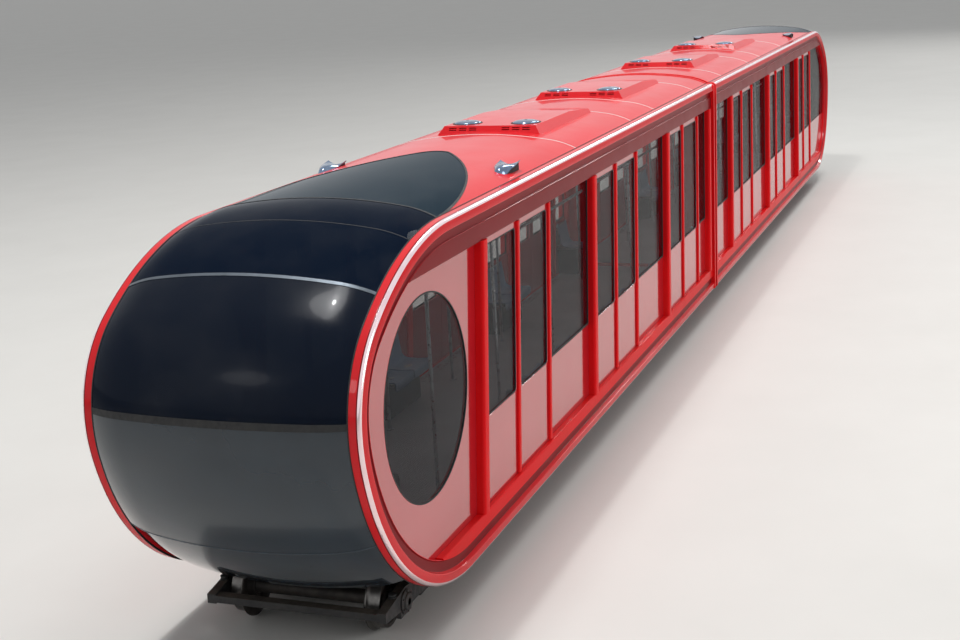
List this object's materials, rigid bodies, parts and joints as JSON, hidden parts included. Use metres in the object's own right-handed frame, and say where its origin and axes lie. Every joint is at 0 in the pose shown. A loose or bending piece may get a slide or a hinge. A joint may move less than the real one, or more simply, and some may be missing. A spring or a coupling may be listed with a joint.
{
  "type": "articulated funicular car",
  "caption": "Low-floor rail car in two hinged glazed sections with rounded noses, side ring frames, plug doors and rail bogies.",
  "frame": {"origin": "under the middle of the car, at the height of the wheel flange tips", "axes": "+X uphill along the rails, +Y across, +Z square to the rails"},
  "size_m": [25.82, 2.406, 3.6238],
  "materials": {
    "red_paint": "high gloss paint",
    "tinted_glass": "tinted side glass",
    "dark_glass": "dark gloss nose glass",
    "black_gloss": "black gloss",
    "grey_metal": "satin",
    "black_rubber": "matt",
    "floor_vinyl": "ribbed vinyl",
    "dark_steel": "dusty dark paint",
    "wheel_steel": "worn steel",
    "seat_shell": "moulded",
    "desk_plastic": "moulded"
  },
  "bodies": {
    "lower_car": {"lower_loops": "red_paint", "lower_side_frames": "red_paint", "lower_side_panels": "red_paint", "lower_side_glass": "tinted_glass", "lower_doors": "red_paint", "lower_door_glass": "tinted_glass", "lower_roof": "red_paint", "lower_roof_pods": "red_paint", "lower_roof_fittings": "grey_metal", "lower_roof_glass": "dark_glass", "lower_windscreen": "dark_glass", "lower_nose_fairing": "black_gloss", "lower_end_hoop": "red_paint", "lower_gangway_seal": "black_rubber", "lower_floor": "floor_vinyl", "lower_underframe": "dark_steel", "lower_equipment": "grey_metal", "lower_seats": "seat_shell", "lower_desk": "desk_plastic"},
    "upper_car": {"upper_loops": "red_paint", "upper_side_frames": "red_paint", "upper_side_panels": "red_paint", "upper_side_glass": "tinted_glass", "upper_doors": "red_paint", "upper_door_glass": "tinted_glass", "upper_roof": "red_paint", "upper_roof_pods": "red_paint", "upper_roof_fittings": "grey_metal", "upper_roof_glass": "dark_glass", "upper_windscreen": "dark_glass", "upper_nose_fairing": "black_gloss", "upper_end_hoop": "red_paint", "upper_gangway_seal": "black_rubber", "upper_floor": "floor_vinyl", "upper_underframe": "dark_steel", "upper_equipment": "grey_metal", "upper_seats": "seat_shell", "upper_desk": "desk_plastic", "rope_socket": "dark_steel"},
    "bogie_1": {"bogie_1_frame": "dark_steel"},
    "wheelset_1": {"wheelset_1": "wheel_steel"},
    "wheelset_2": {"wheelset_2": "wheel_steel"},
    "bogie_2": {"bogie_2_frame": "dark_steel"},
    "wheelset_3": {"wheelset_3": "wheel_steel"},
    "wheelset_4": {"wheelset_4": "wheel_steel"},
    "bogie_3": {"bogie_3_frame": "dark_steel"},
    "wheelset_5": {"wheelset_5": "wheel_steel"},
    "wheelset_6": {"wheelset_6": "wheel_steel"},
    "bogie_4": {"bogie_4_frame": "dark_steel"},
    "wheelset_7": {"wheelset_7": "wheel_steel"},
    "wheelset_8": {"wheelset_8": "wheel_steel"}
  },
  "joints": [
    {"name": "articulation_yaw", "type": "hinge", "parent": "lower_car", "child": "upper_car", "pos_m": [-0.48, 0, 0.47], "axis": [0, 0, 1], "range_deg": [-2, 2]},
    {"name": "bogie_1_yaw", "type": "hinge", "parent": "lower_car", "child": "bogie_1", "pos_m": [-10.6, 0, 0.3], "axis": [0, 0, 1], "range_deg": [-2, 2]},
    {"name": "wheelset_1_spin", "type": "hinge", "parent": "bogie_1", "child": "wheelset_1", "pos_m": [-11.4, 0, 0.26], "axis": [0, 1, 0], "continuous": true},
    {"name": "wheelset_2_spin", "type": "hinge", "parent": "bogie_1", "child": "wheelset_2", "pos_m": [-9.8, 0, 0.26], "axis": [0, 1, 0], "continuous": true},
    {"name": "bogie_2_yaw", "type": "hinge", "parent": "lower_car", "child": "bogie_2", "pos_m": [-3.3, 0, 0.3], "axis": [0, 0, 1], "range_deg": [-2, 2]},
    {"name": "wheelset_3_spin", "type": "hinge", "parent": "bogie_2", "child": "wheelset_3", "pos_m": [-4.1, 0, 0.26], "axis": [0, 1, 0], "continuous": true},
    {"name": "wheelset_4_spin", "type": "hinge", "parent": "bogie_2", "child": "wheelset_4", "pos_m": [-2.5, 0, 0.26], "axis": [0, 1, 0], "continuous": true},
    {"name": "bogie_3_yaw", "type": "hinge", "parent": "upper_car", "child": "bogie_3", "pos_m": [3.3, 0, 0.3], "axis": [0, 0, 1], "range_deg": [-2, 2]},
    {"name": "wheelset_5_spin", "type": "hinge", "parent": "bogie_3", "child": "wheelset_5", "pos_m": [2.5, 0, 0.26], "axis": [0, 1, 0], "continuous": true},
    {"name": "wheelset_6_spin", "type": "hinge", "parent": "bogie_3", "child": "wheelset_6", "pos_m": [4.1, 0, 0.26], "axis": [0, 1, 0], "continuous": true},
    {"name": "bogie_4_yaw", "type": "hinge", "parent": "upper_car", "child": "bogie_4", "pos_m": [10.6, 0, 0.3], "axis": [0, 0, 1], "range_deg": [-2, 2]},
    {"name": "wheelset_7_spin", "type": "hinge", "parent": "bogie_4", "child": "wheelset_7", "pos_m": [9.8, 0, 0.26], "axis": [0, 1, 0], "continuous": true},
    {"name": "wheelset_8_spin", "type": "hinge", "parent": "bogie_4", "child": "wheelset_8", "pos_m": [11.4, 0, 0.26], "axis": [0, 1, 0], "continuous": true}
  ]
}
